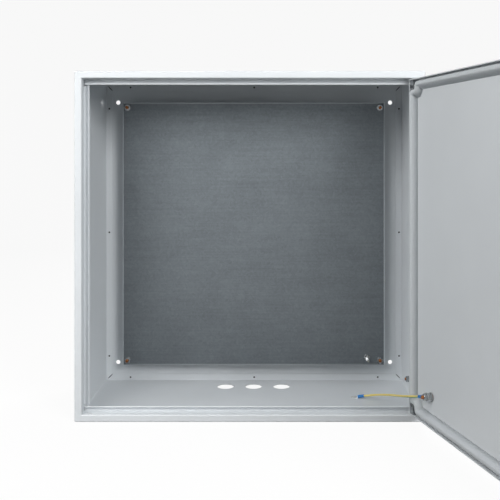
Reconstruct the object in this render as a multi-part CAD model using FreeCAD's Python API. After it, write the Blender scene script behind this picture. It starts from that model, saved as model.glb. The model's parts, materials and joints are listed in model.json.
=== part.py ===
import FreeCAD, Part
import math
import os

# Wall-mounting sheet steel enclosure with an inset hinged door, all sizes in millimetres.
# The origin is the middle of the four wall holes on the rear face of the back plate.
# X points right, Y points from the door to the wall and Z points up.

V = FreeCAD.Vector

# Housing
width = 600.0
height = 600.0
depth = 250.0
sheet = 1.5
bend_radius = 0.5
corner_radius = 3.5

# Folded front rim, measured inward from the outer face and backward from the front
rim_width = 12.5
recess_depth = 20.0
gutter_width = 3.5
lip_height = 7.0
lip_lean = 5.5
lip_end_gap = 2.0
butt_gap = 0.8

# Rear edge of the walls, which the back plate is welded to
rear_flange = 14.0
mitre_gap = 0.8
weld_hole_radius = 2.0
weld_hole_inset = 7.0
weld_hole_from_corner = 50.0

# Back plate and the holes for the wall screws
back_sheet = 1.5
wall_hole_radius = 4.25
wall_hole_from_side = 25.0
wall_hole_from_end = 37.5

# Cable entries in the floor
entry_radius = 16.25
entry_pitch = 55.0
entry_from_back = 46.5
entry_count = 3

# Drain slot in the lower rim
drain_length = 8.0
drain_width = 4.0
drain_from_side = 25.0
drain_from_front = 8.0

# Fasteners of the M6 size
thread_radius = 3.0
thread_clearance = 0.05
washer_clearance = 0.2
washer_radius = 6.0
washer_thickness = 1.6
nut_across_flats = 10.0
nut_height = 5.0
bolt_head_height = 4.0
end_chamfer = 0.6
weld_ring_radius = 4.6
weld_ring_height = 1.5

# Mounting panel on its four weld studs
panel_sheet = 2.0
panel_front_from_back = 33.0
panel_margin = 40.0
panel_return = 15.0
stud_from_edge = 50.0
stud_past_nut = 4.4
stud_hole_clearance = 0.5
spacer_radius = 6.0
spacer_clearance = 0.3

# Earth bolt on the panel
panel_bolt_from_side = 76.0
panel_bolt_from_bottom = 55.0
panel_bolt_length = 27.0

# Earth stud on the right wall
wall_stud_from_back = 103.0
wall_stud_from_bottom = 32.0
wall_stud_past_nut = 2.0

# Hinge
hinge_from_rim = 8.5
hinge_setback = 5.0
pin_radius = 2.5
pin_clearance = 0.05
pin_tip = 1.5
pin_head_radius = 3.3
pin_head_height = 2.0
doubler_sheet = 3.0
doubler_length = 24.0
thrust_washer_radius = 4.2
thrust_washer_gap = 0.3
knuckle_radius = 5.0
hinge_block_length = 13.0
hinge_block_height = 14.0
hinge_block_offset = 4.0
swing_clearance = 0.9
open_angle = 105.0

# Door
door_sheet = 1.5
door_gap = 2.0
hinge_gap = 3.0
flange_clearance = 1.0
pin_hole_clearance = 0.4
seal_width = 8.0
seal_from_rim = 6.0
seal_gap = 1.0
seal_corner_radius = 3.0
seal_block_gap = 0.5

# Earth stud on the door
door_stud_from_axis = 66.0
door_stud_from_bottom = 61.7
door_stud_past_nut = 3.3
door_washer_radius = 6.8

# Quarter-turn locks
lock_from_side = 50.0
lock_from_end = 110.0
lock_flange_radius = 14.0
lock_front_radius = 13.0
lock_flange_height = 3.0
lock_body_radius = 10.0
lock_hole_clearance = 0.1
lock_nut_across_flats = 27.0
lock_nut_height = 5.0
core_radius = 6.5
core_head_radius = 8.2
core_head_height = 2.5
core_clearance = 0.05
core_sink = 0.6
socket_radius = 5.2
socket_depth = 9.0
bit_radius = 2.0
bit_span = 8.6
bit_thickness = 2.8
cam_gap = 0.6
cam_thickness = 3.0
cam_hub_radius = 9.0
cam_arm_width = 13.0
cam_overlap = 13.5
cam_square = 7.0
cam_bolt_depth = 10.0

# Crimped ring lugs and the earth wire
lug_sheet = 1.0
lug_ring_radius = 5.5
lug_hole_radius = 3.2
lug_neck_width = 5.0
lug_neck = 8.0
barrel_radius = 1.9
barrel_length = 12.5
barrel_lift = 2.8
sleeve_radius = 2.75
sleeve_clearance = 0.15
sleeve_start = 0.8
sleeve_length = 12.2
door_lug_bend = 12.0
door_lug_dip = 14.5
free_lug_bend = 14.0
free_lug_heading = -28.1
free_lug_from_side = 109.5
free_lug_from_front = 132.5
free_lug_gap = 0.05
wire_radius = 1.9
wire_bend_share = 0.45

# Points of the wire between its two lugs, from the lower right corner of the front
wire_points = [
    V(-31.1, -18.5, 49.8),
    V(-39.5, 14.0, 40.4),
    V(-50.0, 51.0, 30.8),
    V(-62.0, 84.0, 21.4),
    V(-75.2, 114.2, 11.9),
]

# Faces and lines that several pieces meet at
half_width = width / 2
half_height = height / 2
front = -depth
plate_front = -back_sheet
lip_front = recess_depth - lip_height
gutter_inner = rim_width + gutter_width
lip_end = gutter_inner + lip_lean
seal_inset = rim_width + seal_from_rim
hinge_x = half_width - rim_width - hinge_from_rim
hinge_y = front + hinge_setback
door_right = half_width - rim_width - hinge_gap
door_left = rim_width + door_gap - half_width
door_top = half_height - rim_width - door_gap
door_inner = front + door_sheet
door_flange = lip_front - flange_clearance
block_left = hinge_x - hinge_block_offset - hinge_block_length
block_low = door_top - door_sheet - hinge_block_height
panel_face = -panel_front_from_back
cam_front = recess_depth + sheet + cam_gap
lock_x = lock_from_side - half_width
lock_heights = [half_height - lock_from_end, lock_from_end - half_height]
corners = [(-1, -1), (1, -1), (1, 1), (-1, 1)]
out = "parts"


def box(low, high):
    size = V(*high) - V(*low)
    return Part.makeBox(size.x, size.y, size.z, V(*low))


def rod(radius, base, direction, length):
    return Part.makeCylinder(radius, length, base, direction)


def ring(outer, inner, base, direction, length):
    return rod(outer, base, direction, length).cut(rod(inner, base, direction, length))


def stud(radius, base, direction, length):
    """A threaded rod with a chamfered free end."""
    body = rod(radius, base, direction, length - end_chamfer)
    tip = Part.makeCone(
        radius, radius - end_chamfer, end_chamfer, base + direction * (length - end_chamfer), direction
    )
    return body.fuse(tip).removeSplitter()


def prism(points, sweep):
    return Part.Face(Part.makePolygon(points + points[:1])).extrude(sweep)


def hexagon(across_flats, base, direction, length):
    """A hexagonal prism along a level direction, with two of its flats upright."""
    corner = V(0, 0, across_flats / math.sqrt(3))
    points = [base + FreeCAD.Rotation(direction, 60 * i).multVec(corner) for i in range(6)]
    return prism(points, direction * length)


def hex_nut(across_flats, hole, base, direction, length):
    """A nut with the corners of both faces turned off."""
    blank = hexagon(across_flats, base, direction, length)
    middle = across_flats / 2 + length / 2
    turned = Part.makeCone(across_flats / 2, middle, length / 2, base, direction)
    half_way = base + direction * (length / 2)
    turned = turned.fuse(Part.makeCone(middle, across_flats / 2, length / 2, half_way, direction))
    return blank.common(turned).cut(rod(hole, base, direction, length))


def m6_nut(base, direction):
    return hex_nut(nut_across_flats, thread_radius + thread_clearance, base, direction, nut_height)


def m6_washer(base, direction, radius=washer_radius):
    return ring(radius, thread_radius + washer_clearance, base, direction, washer_thickness)


def plate(wide, high, radius, back, thickness):
    """A plate in the XZ plane with rounded corners, whose lower Y face is at back."""
    blank = box((-wide / 2, back, -high / 2), (wide / 2, back + thickness, high / 2))
    across = [e for e in blank.Edges if e.BoundBox.YLength > thickness / 2]
    return blank.makeFillet(radius, across)


def rounded_edges(points, radii):
    """Straight edges through the points, with an arc of the given radius at each inner one."""
    edges = []
    start = points[0]
    for before, here, after, radius in zip(points, points[1:], points[2:], radii):
        into = (here - before).normalize()
        away = (after - here).normalize()
        half_turn = into.getAngle(away) / 2
        trim = radius * math.tan(half_turn)
        first = here - into * trim
        last = here + away * trim
        middle = here + (away - into).normalize() * (radius / math.cos(half_turn) - radius)
        edges.append(Part.LineSegment(start, first).toShape())
        edges.append(Part.Arc(first, middle, last).toShape())
        start = last
    edges.append(Part.LineSegment(start, points[-1]).toShape())
    return edges


def bent_sheet(path, thickness, sweep):
    """Sheet metal that follows a path in the YZ plane, swept along X.

    The path is the face on the left of its own direction, with Z to the right and Y down.
    """
    headings = [(b - a).normalize() for a, b in zip(path, path[1:])]
    normals = [V(0, h.z, -h.y) for h in headings]
    other = [path[0] + normals[0] * thickness]
    near = []
    far = []
    for i in range(1, len(path) - 1):
        both = normals[i - 1] + normals[i]
        other.append(path[i] + both * (thickness / (1 + normals[i - 1].dot(normals[i]))))
        towards_sheet = normals[i - 1].dot(headings[i]) > 0
        near.append(bend_radius + (thickness if towards_sheet else 0))
        far.append(bend_radius + (0 if towards_sheet else thickness))
    other.append(path[-1] + normals[-1] * thickness)
    edges = rounded_edges(path, near)
    edges.append(Part.LineSegment(path[-1], other[-1]).toShape())
    edges += rounded_edges(other[::-1], far[::-1])
    edges.append(Part.LineSegment(other[0], path[0]).toShape())
    wire = Part.Wire(Part.__sortEdges__(edges))
    return Part.Face(wire).extrude(sweep)


def wall_blank(length, distance, through):
    """A floor that is folded along both long edges and mitred at both ends.

    The gutter and lip of a through wall run on to its neighbours' rims, and those of the others
    stop short of them.
    """
    low = -distance
    rear = -back_sheet
    path = [
        V(0, rear, low + rear_flange),
        V(0, rear, low),
        V(0, front, low),
        V(0, front, low + rim_width),
        V(0, front + recess_depth, low + rim_width),
        V(0, front + recess_depth, low + gutter_inner),
        V(0, front + lip_front, low + lip_end),
    ]
    path = [p + V(-length / 2, 0, 0) for p in path]
    blank = bent_sheet(path, sheet, V(length, 0, 0))
    blank = blank.fuse([corner_fill(length, distance, side) for side in (-1, 1)])
    shell = plate(length, 2 * distance, corner_radius, front, depth)
    reach = 2 * lip_end
    wedge = prism(
        [
            V(-length / 2, front, low),
            V(length / 2, front, low),
            V(length / 2 - reach, front, low + reach),
            V(reach - length / 2, front, low + reach),
        ],
        V(0, depth, 0),
    )
    inner = box((-length / 2, front, low + rim_width), (length / 2, front + 2 * recess_depth, low + reach))
    mitred = blank.common(shell).common(wedge)
    if through:
        end = length / 2 - rim_width - lip_end_gap
        whole = mitred.fuse(blank.common(inner).common(box((-end, front, low), (end, 0, 0))))
    else:
        end = length / 2 - lip_end - sheet - butt_gap
        short = box((-end, front, low), (end, 0, 0))
        whole = mitred.cut(inner).fuse(mitred.common(inner).common(short))
    return whole.cut(mitre_slots(length, distance)).cut(weld_holes(length, distance)).removeSplitter()


def corner_fill(length, distance, side):
    """What makes the inside of a housing corner round instead of square."""
    inner = corner_radius - sheet
    x = side * (length / 2 - sheet)
    z = sheet - distance
    low = (min(x, x - side * inner), front + sheet, z)
    high = (max(x, x - side * inner), -back_sheet - sheet, z + inner)
    centre = V(x - side * inner, front, z + inner)
    return box(low, high).cut(rod(inner, centre, V(0, 1, 0), depth))


def mitre_slots(length, distance):
    """The open mitres between the rear flanges of neighbouring walls."""
    slots = []
    start = sheet + bend_radius
    end = 2 * rear_flange
    for side in (-1, 1):
        corner = V(side * length / 2, -back_sheet - 2 * sheet, -distance)
        along = V(-side, 0, 1)
        across = V(1, 0, side).normalize() * (mitre_gap / 2)
        first = corner + along * start
        last = corner + along * end
        slots.append(prism([first - across, last - across, last + across, first + across], V(0, 2 * sheet, 0)))
    return slots


def weld_holes(length, distance):
    """The holes in a rear flange that it is welded to the back plate through."""
    end = length / 2 - weld_hole_from_corner
    holes = []
    for x in (-end, 0, end):
        base = V(x, -back_sheet - 2 * sheet, weld_hole_inset - distance)
        holes.append(rod(weld_hole_radius, base, V(0, 1, 0), 2 * sheet))
    return holes


def wall(length, distance, turn, through=False):
    """A wall blank turned about Y from the floor to its own side."""
    blank = wall_blank(length, distance, through)
    blank.rotate(V(0, 0, 0), V(0, 1, 0), turn)
    return blank


def pin_hole(level):
    """The hole for one hinge pin through the rim, level being 1 at the top and -1 at the bottom."""
    low = half_height - rim_width - sheet
    base = V(hinge_x, hinge_y, level * low)
    return rod(pin_radius + pin_clearance, base, V(0, 0, level), 3 * sheet)


def top_wall():
    return wall(width, half_height, 180, through=True).cut(pin_hole(1))


def bottom_wall():
    floor = wall(width, half_height, 0, through=True).cut(pin_hole(-1))
    first = -entry_pitch * (entry_count - 1) / 2
    for i in range(entry_count):
        base = V(first + i * entry_pitch, -entry_from_back, -half_height - sheet)
        floor = floor.cut(rod(entry_radius, base, V(0, 0, 1), 3 * sheet))
    return floor.cut(drain_slot())


def drain_slot():
    """A round-ended slot that lets water out of the lower rim."""
    z = rim_width - 2 * sheet - half_height
    y = front + drain_from_front
    x = drain_from_side - half_width
    half = drain_length / 2 - drain_width / 2
    slot = box((x - half, y - drain_width / 2, z), (x + half, y + drain_width / 2, z + 3 * sheet))
    for end in (x - half, x + half):
        slot = slot.fuse(rod(drain_width / 2, V(end, y, z), V(0, 0, 1), 3 * sheet))
    return slot.removeSplitter()


def back_plate():
    body = plate(width, height, corner_radius, -back_sheet, back_sheet)
    for side, level in corners:
        x = side * (half_width - wall_hole_from_side)
        z = level * (half_height - wall_hole_from_end)
        body = body.cut(rod(wall_hole_radius, V(x, -2 * back_sheet, z), V(0, 1, 0), 3 * back_sheet))
    return body


def panel_corners(y):
    """The four places where the mounting panel is bolted down, at the given Y."""
    x = half_width - stud_from_edge
    z = half_height - stud_from_edge
    return [V(side * x, y, level * z) for side, level in corners]


def panel_bolt_place(y):
    return V(half_width - panel_bolt_from_side, y, panel_bolt_from_bottom - half_height)


def mounting_panel():
    """A flat plate with its two upright edges folded back, made along X and turned upright."""
    half = half_width - panel_margin
    path = [
        V(0, panel_face + panel_return, -half),
        V(0, panel_face, -half),
        V(0, panel_face, half),
        V(0, panel_face + panel_return, half),
    ]
    tall = height - 2 * panel_margin
    path = [p + V(-tall / 2, 0, 0) for p in path]
    body = bent_sheet(path, panel_sheet, V(tall, 0, 0))
    body.rotate(V(0, 0, 0), V(0, 1, 0), 90)
    hole = thread_radius + stud_hole_clearance
    for place in panel_corners(panel_face) + [panel_bolt_place(panel_face)]:
        body = body.cut(rod(hole, place - V(0, panel_sheet, 0), V(0, 1, 0), 3 * panel_sheet))
    return body


def panel_studs():
    reach = panel_front_from_back - back_sheet + washer_thickness + nut_height + stud_past_nut
    return [stud(thread_radius, p, V(0, -1, 0), reach) for p in panel_corners(plate_front)]


def panel_spacers():
    long = panel_front_from_back - back_sheet - panel_sheet
    hole = thread_radius + spacer_clearance
    return [ring(spacer_radius, hole, p, V(0, -1, 0), long) for p in panel_corners(plate_front)]


def panel_washers():
    return [m6_washer(p, V(0, -1, 0)) for p in panel_corners(panel_face)]


def panel_nuts():
    return [m6_nut(p, V(0, -1, 0)) for p in panel_corners(panel_face - washer_thickness)]


def panel_earth_bolt():
    rear = panel_bolt_place(panel_face + panel_sheet)
    head = hexagon(nut_across_flats, rear, V(0, 1, 0), bolt_head_height)
    shank = stud(thread_radius, rear, V(0, -1, 0), panel_sheet + panel_bolt_length)
    return head.fuse(shank).removeSplitter()


def panel_earth_washer():
    return m6_washer(panel_bolt_place(panel_face), V(0, -1, 0))


def panel_earth_nut():
    return m6_nut(panel_bolt_place(panel_face - washer_thickness), V(0, -1, 0))


def wall_stud_place(height_off):
    """A point on the axis of the right wall's earth stud, height_off from the wall."""
    return V(half_width - sheet - height_off, -wall_stud_from_back, wall_stud_from_bottom - half_height)


def weld_stud(base, direction, reach):
    """A weld stud with the ring that its foot melts into."""
    foot = rod(weld_ring_radius, base, direction, weld_ring_height)
    return foot.fuse(stud(thread_radius, base, direction, reach)).removeSplitter()


def wall_earth_stud():
    reach = weld_ring_height + washer_thickness + nut_height + wall_stud_past_nut
    return weld_stud(wall_stud_place(0), V(-1, 0, 0), reach)


def wall_earth_washer():
    return m6_washer(wall_stud_place(weld_ring_height), V(-1, 0, 0))


def wall_earth_nut():
    return m6_nut(wall_stud_place(weld_ring_height + washer_thickness), V(-1, 0, 0))


def hinge_doublers():
    """Thick plates inside the rim that spread the load of the hinge pins."""
    pieces = []
    for level in (1, -1):
        z = half_height - rim_width + sheet
        left = hinge_x - doubler_length / 2
        right = min(hinge_x + doubler_length / 2, half_width - rim_width + sheet)
        near = front + sheet + bend_radius
        far = front + recess_depth - bend_radius
        ends = sorted([level * z, level * (z + doubler_sheet)])
        blank = box((left, near, ends[0]), (right, far, ends[1]))
        pieces.append(blank.cut(pin_hole_through(level)))
    return pieces


def pin_hole_through(level):
    base = V(hinge_x, hinge_y, level * (half_height - rim_width))
    return rod(pin_radius + pin_clearance, base, V(0, 0, level), rim_width)


def hinge_pins():
    """Headed pins that hang down into the upper block and stand up into the lower one."""
    pieces = []
    for level in (1, -1):
        seat = level * (half_height - rim_width + sheet + doubler_sheet)
        tip = level * (block_low - pin_tip)
        head = rod(pin_head_radius, V(hinge_x, hinge_y, seat), V(0, 0, level), pin_head_height)
        shank = stud(pin_radius, V(hinge_x, hinge_y, seat), V(0, 0, -level), abs(seat - tip))
        pieces.append(head.fuse(shank).removeSplitter())
    return pieces


def thrust_washer():
    base = V(hinge_x, hinge_y, rim_width - half_height)
    hole = pin_radius + washer_clearance
    return ring(thrust_washer_radius, hole, base, V(0, 0, 1), door_gap - thrust_washer_gap)


def opened(shape):
    """Swings a piece of the closed door to where the door stands open."""
    shape.rotate(V(hinge_x, hinge_y, 0), V(0, 0, 1), open_angle)
    return shape


def pan(thickness):
    """The block inside the door's skin at the given depth under it, with its front edges round."""
    low = (door_left + thickness, front + thickness, thickness - door_top)
    high = (door_right - thickness, front + door_flange, door_top - thickness)
    block = box(low, high)
    bends = [e for e in block.Edges if e.BoundBox.YMin < front + door_flange / 2]
    return block.makeFillet(bend_radius + door_sheet - thickness, bends)


def hinge_side_flange():
    """How deep the flange beside the hinge may be and still swing past the rim's lip."""
    swing = lip_front - hinge_setback - swing_clearance
    across = door_right - hinge_x
    return hinge_setback + math.sqrt(swing * swing - across * across)


def door_leaf():
    """A shallow pan with a low flange beside the hinge and cut-back corners above and below it."""
    leaf = pan(0).cut(pan(door_sheet))
    shallow = front + hinge_side_flange()
    deep = front + door_flange
    slope = deep - shallow
    top = half_height
    side = door_right + door_sheet
    inside = door_right - door_sheet
    notch = [
        V(side, shallow, -top),
        V(inside, shallow, -top),
        V(inside - slope, deep + door_sheet, -top),
        V(side, deep + door_sheet, -top),
    ]
    leaf = leaf.cut(prism(notch, V(0, 0, 2 * top)))
    for level in (1, -1):
        base = V(hinge_x, hinge_y, level * (door_top - 2 * door_sheet))
        leaf = leaf.cut(rod(pin_radius + pin_hole_clearance, base, V(0, 0, level), 3 * door_sheet))
    for z in lock_heights:
        base = V(lock_x, front - door_sheet, z)
        leaf = leaf.cut(rod(lock_body_radius + lock_hole_clearance, base, V(0, 1, 0), 3 * door_sheet))
    return opened(leaf)


def hinge_blocks():
    """Blocks in the two corners of the door, each with a knuckle round its pin."""
    rear = front + lip_front - seal_gap
    right = hinge_x - hinge_block_offset
    tall = V(0, 0, hinge_block_height)
    body = box((block_left, door_inner, block_low), (right, rear, block_low + tall.z))
    knuckle = rod(knuckle_radius, V(hinge_x, hinge_y, block_low), V(0, 0, 1), tall.z)
    bridge = box((right, door_inner, block_low), (hinge_x, hinge_y + knuckle_radius, block_low + tall.z))
    block = body.fuse([knuckle, bridge]).common(pan(door_sheet)).removeSplitter()
    block = block.cut(rod(pin_radius + pin_clearance, V(hinge_x, hinge_y, block_low), V(0, 0, 1), tall.z))
    return [opened(block.copy()), opened(block.mirror(V(0, 0, 0), V(0, 0, 1)))]


def seal_frame(inset):
    """The block inside the foam seal's outline, inset from the housing's outer faces."""
    thick = lip_front - seal_gap - door_sheet
    wide = width - 2 * inset
    high = height - 2 * inset
    return plate(wide, high, seal_corner_radius, door_inner, thick)


def door_seal():
    """Foamed seal strip that runs round the door and steps inward past the hinge blocks."""
    strip = seal_frame(seal_inset)
    window = seal_frame(seal_inset + seal_width)
    for corner in seal_corners(seal_width):
        window = window.cut(corner)
    strip = strip.cut(window)
    for corner in seal_corners(0):
        strip = strip.cut(corner)
    return opened(strip)


def seal_corners(grow):
    """The two corners beside the hinge that the seal leaves free, made larger by grow."""
    left = block_left - seal_block_gap - grow
    low = block_low - pin_tip - seal_block_gap - grow
    upper = box((left, front, low), (half_width, front + lip_front, half_height))
    return [upper, upper.mirror(V(0, 0, 0), V(0, 0, 1))]


def door_stud_place(height_off):
    """A point on the axis of the closed door's earth stud, height_off from its inner face."""
    return V(hinge_x - door_stud_from_axis, door_inner + height_off, door_stud_from_bottom - half_height)


def door_stack():
    """Distances from the door's inner face to each piece on the earth stud, from the face outward."""
    first_washer = weld_ring_height
    first_nut = first_washer + washer_thickness
    lug = first_nut + nut_height
    second_washer = lug + lug_sheet
    second_nut = second_washer + washer_thickness
    return first_washer, first_nut, lug, second_washer, second_nut


def door_earth_stud():
    reach = door_stack()[4] + nut_height + door_stud_past_nut
    return opened(weld_stud(door_stud_place(0), V(0, 1, 0), reach))


def door_earth_washers():
    first, _, _, second, _ = door_stack()
    places = [door_stud_place(off) for off in (first, second)]
    return [opened(m6_washer(p, V(0, 1, 0), door_washer_radius)) for p in places]


def door_earth_nuts():
    _, first, _, _, second = door_stack()
    return [opened(m6_nut(door_stud_place(off), V(0, 1, 0))) for off in (first, second)]


def barrel_ends(bend):
    """Start and direction of a lug's barrel, in the lug's own axes."""
    turn = math.radians(bend)
    return V(lug_neck, 0, barrel_lift), V(math.cos(turn), 0, math.sin(turn))


def lug_metal(bend):
    """A ring lug lying on z = 0 with its ring round the origin and its barrel along +X."""
    start, direction = barrel_ends(bend)
    blade = rod(lug_ring_radius, V(0, 0, 0), V(0, 0, 1), lug_sheet)
    half_neck = lug_neck_width / 2
    blade = blade.fuse(box((0, -half_neck, 0), (lug_neck, half_neck, lug_sheet)))
    side = barrel_radius
    foot = [
        V(lug_neck - lug_sheet, -side, 0),
        V(lug_neck, -side, 0),
        V(lug_neck + sleeve_start, -side, barrel_lift),
        V(lug_neck, -side, barrel_lift),
    ]
    blade = blade.fuse([prism(foot, V(0, 2 * side, 0)), rod(barrel_radius, start, direction, barrel_length)])
    return blade.cut(rod(lug_hole_radius, V(0, 0, -1), V(0, 0, 1), 3 * lug_sheet)).removeSplitter()


def lug_sleeve(bend):
    start, direction = barrel_ends(bend)
    base = start + direction * sleeve_start
    return ring(sleeve_radius, barrel_radius + sleeve_clearance, base, direction, sleeve_length)


def lug_exit(bend):
    """Where the wire leaves a lug, in the lug's own axes."""
    start, direction = barrel_ends(bend)
    return start + direction * barrel_length


def placed(origin, along, up):
    """A placement that takes a lug's X to along and its Z to up."""
    side = up.cross(along)
    turn = FreeCAD.Matrix(
        along.x, side.x, up.x, origin.x,
        along.y, side.y, up.y, origin.y,
        along.z, side.z, up.z, origin.z,
        0, 0, 0, 1,
    )
    return FreeCAD.Placement(turn)


def door_lug_placement():
    """The lug clamped on the door's earth stud, in the open position."""
    dip = math.radians(door_lug_dip)
    closed = placed(door_stud_place(door_stack()[2]), V(math.cos(dip), 0, -math.sin(dip)), V(0, 1, 0))
    swing = FreeCAD.Placement(V(0, 0, 0), FreeCAD.Rotation(V(0, 0, 1), open_angle), V(hinge_x, hinge_y, 0))
    return swing.multiply(closed)


def free_lug_placement():
    """The loose lug that lies on the floor of the housing."""
    turn = math.radians(free_lug_heading)
    floor = sheet + free_lug_gap - half_height
    place = V(half_width - free_lug_from_side, front + free_lug_from_front, floor)
    return placed(place, V(math.cos(turn), math.sin(turn), 0), V(0, 0, 1))


def moved(shape, placement):
    copy = shape.copy()
    copy.Placement = placement.multiply(copy.Placement)
    return copy


def wire_route():
    corner = V(half_width, front, -half_height)
    route = [door_lug_placement().multVec(lug_exit(door_lug_bend))]
    route += [corner + p for p in wire_points]
    route.append(free_lug_placement().multVec(lug_exit(free_lug_bend)))
    return route


def earth_wire():
    """The wire as straight runs joined by tangent arcs as large as the runs allow."""
    route = wire_route()
    radii = []
    for before, here, after in zip(route, route[1:], route[2:]):
        half_turn = (here - before).getAngle(after - here) / 2
        run = min((here - before).Length, (after - here).Length)
        radii.append(wire_bend_share * run / math.tan(half_turn))
    path = Part.Wire(rounded_edges(route, radii))
    section = Part.Wire(Part.makeCircle(wire_radius, route[0], route[1] - route[0]))
    tube = path.makePipeShell([section], True, True)
    print("wire length", round(path.Length, 2), "radii", [round(r, 1) for r in radii])
    print("wire volume share", round(tube.Volume / (math.pi * wire_radius**2 * path.Length), 4))
    print("wire route", [tuple(round(c, 2) for c in p) for p in route])
    return tube


def lock_housings():
    """Flanged sleeves through the door that carry the lock cores."""
    pieces = []
    for z in lock_heights:
        face = V(lock_x, front, z)
        mouth = face - V(0, lock_flange_height, 0)
        flange = Part.makeCone(lock_front_radius, lock_flange_radius, lock_flange_height, mouth, V(0, 1, 0))
        blank = flange.fuse(rod(lock_body_radius, face, V(0, 1, 0), cam_front - cam_gap))
        bore = rod(core_radius + core_clearance, mouth, V(0, 1, 0), depth)
        seat_depth = core_sink + core_head_height + core_clearance
        seat = rod(core_head_radius + core_clearance, mouth, V(0, 1, 0), seat_depth)
        pieces.append(opened(blank.cut([bore, seat]).removeSplitter()))
    return pieces


def lock_nuts():
    hole = lock_body_radius + thread_clearance
    places = [V(lock_x, door_inner, z) for z in lock_heights]
    return [
        opened(hex_nut(lock_nut_across_flats, hole, p, V(0, 1, 0), lock_nut_height)) for p in places
    ]


def lock_core(z):
    """The turning core, with a two-winged key bit in its socket and a square for the cam."""
    mouth = V(lock_x, front - lock_flange_height + core_sink, z)
    rear = front + cam_front
    inward = V(0, 1, 0)
    body = rod(core_head_radius, mouth, inward, core_head_height)
    body = body.fuse(rod(core_radius, mouth, inward, rear - mouth.y))
    body = body.cut(rod(socket_radius, mouth, inward, socket_depth))
    half = cam_square / 2
    square = box((lock_x - half, rear, z - half), (lock_x + half, rear + cam_thickness, z + half))
    bit = rod(bit_radius, mouth, inward, socket_depth)
    wings = box(
        (lock_x - bit_span / 2, mouth.y, z - bit_thickness / 2),
        (lock_x + bit_span / 2, mouth.y + socket_depth, z + bit_thickness / 2),
    )
    body = body.fuse([square, bit, wings])
    end = V(lock_x, rear + cam_thickness, z)
    return body.cut(rod(thread_radius + thread_clearance, end, V(0, -1, 0), cam_bolt_depth)).removeSplitter()


def lock_cam(z):
    """The arm that turns behind the rim's gutter, pointing down while the lock is open."""
    front_face = front + cam_front
    reach = lock_from_side - cam_overlap
    half = cam_arm_width / 2
    centre = V(lock_x, front_face, z)
    arm = rod(cam_hub_radius, centre, V(0, 1, 0), cam_thickness)
    arm = arm.fuse(
        [
            box((lock_x - half, front_face, z - reach + half), (lock_x + half, front_face + cam_thickness, z)),
            rod(half, centre - V(0, 0, reach - half), V(0, 1, 0), cam_thickness),
        ]
    ).removeSplitter()
    hole = cam_square / 2
    return arm.cut(
        box((lock_x - hole, front_face, z - hole), (lock_x + hole, front_face + cam_thickness, z + hole))
    )


def cam_bolt(z):
    seat = V(lock_x, front + cam_front + cam_thickness, z)
    washer = rod(washer_radius, seat, V(0, 1, 0), washer_thickness)
    head = hexagon(nut_across_flats, seat + V(0, washer_thickness, 0), V(0, 1, 0), bolt_head_height)
    shank = rod(thread_radius, seat, V(0, -1, 0), cam_bolt_depth)
    return washer.fuse([head, shank]).removeSplitter()


def save(name, made):
    """Writes one piece, or a group of like pieces, as one STEP file."""
    shape = Part.makeCompound(made) if isinstance(made, list) else made
    for solid in shape.Solids:
        if not solid.isValid():
            print("not valid:", name)
    print(f"{name:22} {len(shape.Solids)} solids, {shape.Volume:12.1f} mm3")
    shape.exportStep(os.path.join(out, name + ".step"))


def main():
    os.makedirs("parts", exist_ok=True)
    door_lug = door_lug_placement()
    free_lug = free_lug_placement()
    save("top_wall", top_wall())
    save("bottom_wall", bottom_wall())
    save("left_wall", wall(height, half_width, 90))
    save("right_wall", wall(height, half_width, -90))
    save("back_plate", back_plate())
    save("mounting_panel", mounting_panel())
    save("panel_studs", panel_studs())
    save("panel_spacers", panel_spacers())
    save("panel_washers", panel_washers())
    save("panel_nuts", panel_nuts())
    save("panel_earth_bolt", panel_earth_bolt())
    save("panel_earth_washer", panel_earth_washer())
    save("panel_earth_nut", panel_earth_nut())
    save("wall_earth_stud", wall_earth_stud())
    save("wall_earth_washer", wall_earth_washer())
    save("wall_earth_nut", wall_earth_nut())
    save("hinge_doublers", hinge_doublers())
    save("hinge_pins", hinge_pins())
    save("thrust_washer", thrust_washer())
    save("free_lug", moved(lug_metal(free_lug_bend), free_lug))
    save("free_lug_sleeve", moved(lug_sleeve(free_lug_bend), free_lug))
    save("earth_wire", earth_wire())
    save("door_leaf", door_leaf())
    save("door_seal", door_seal())
    save("hinge_blocks", hinge_blocks())
    save("door_earth_stud", door_earth_stud())
    save("door_earth_washers", door_earth_washers())
    save("door_earth_nuts", door_earth_nuts())
    save("door_lug", moved(lug_metal(door_lug_bend), door_lug))
    save("door_lug_sleeve", moved(lug_sleeve(door_lug_bend), door_lug))
    save("lock_housings", lock_housings())
    save("lock_nuts", lock_nuts())
    for name, z in zip(("upper", "lower"), lock_heights):
        save(name + "_lock_core", opened(lock_core(z)))
        save(name + "_lock_cam", opened(lock_cam(z)))
        save(name + "_cam_bolt", opened(cam_bolt(z)))


main()
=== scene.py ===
"""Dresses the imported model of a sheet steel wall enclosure, lights it and places the camera."""

import json
import math

import bpy
from mathutils import Matrix, Vector


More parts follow.
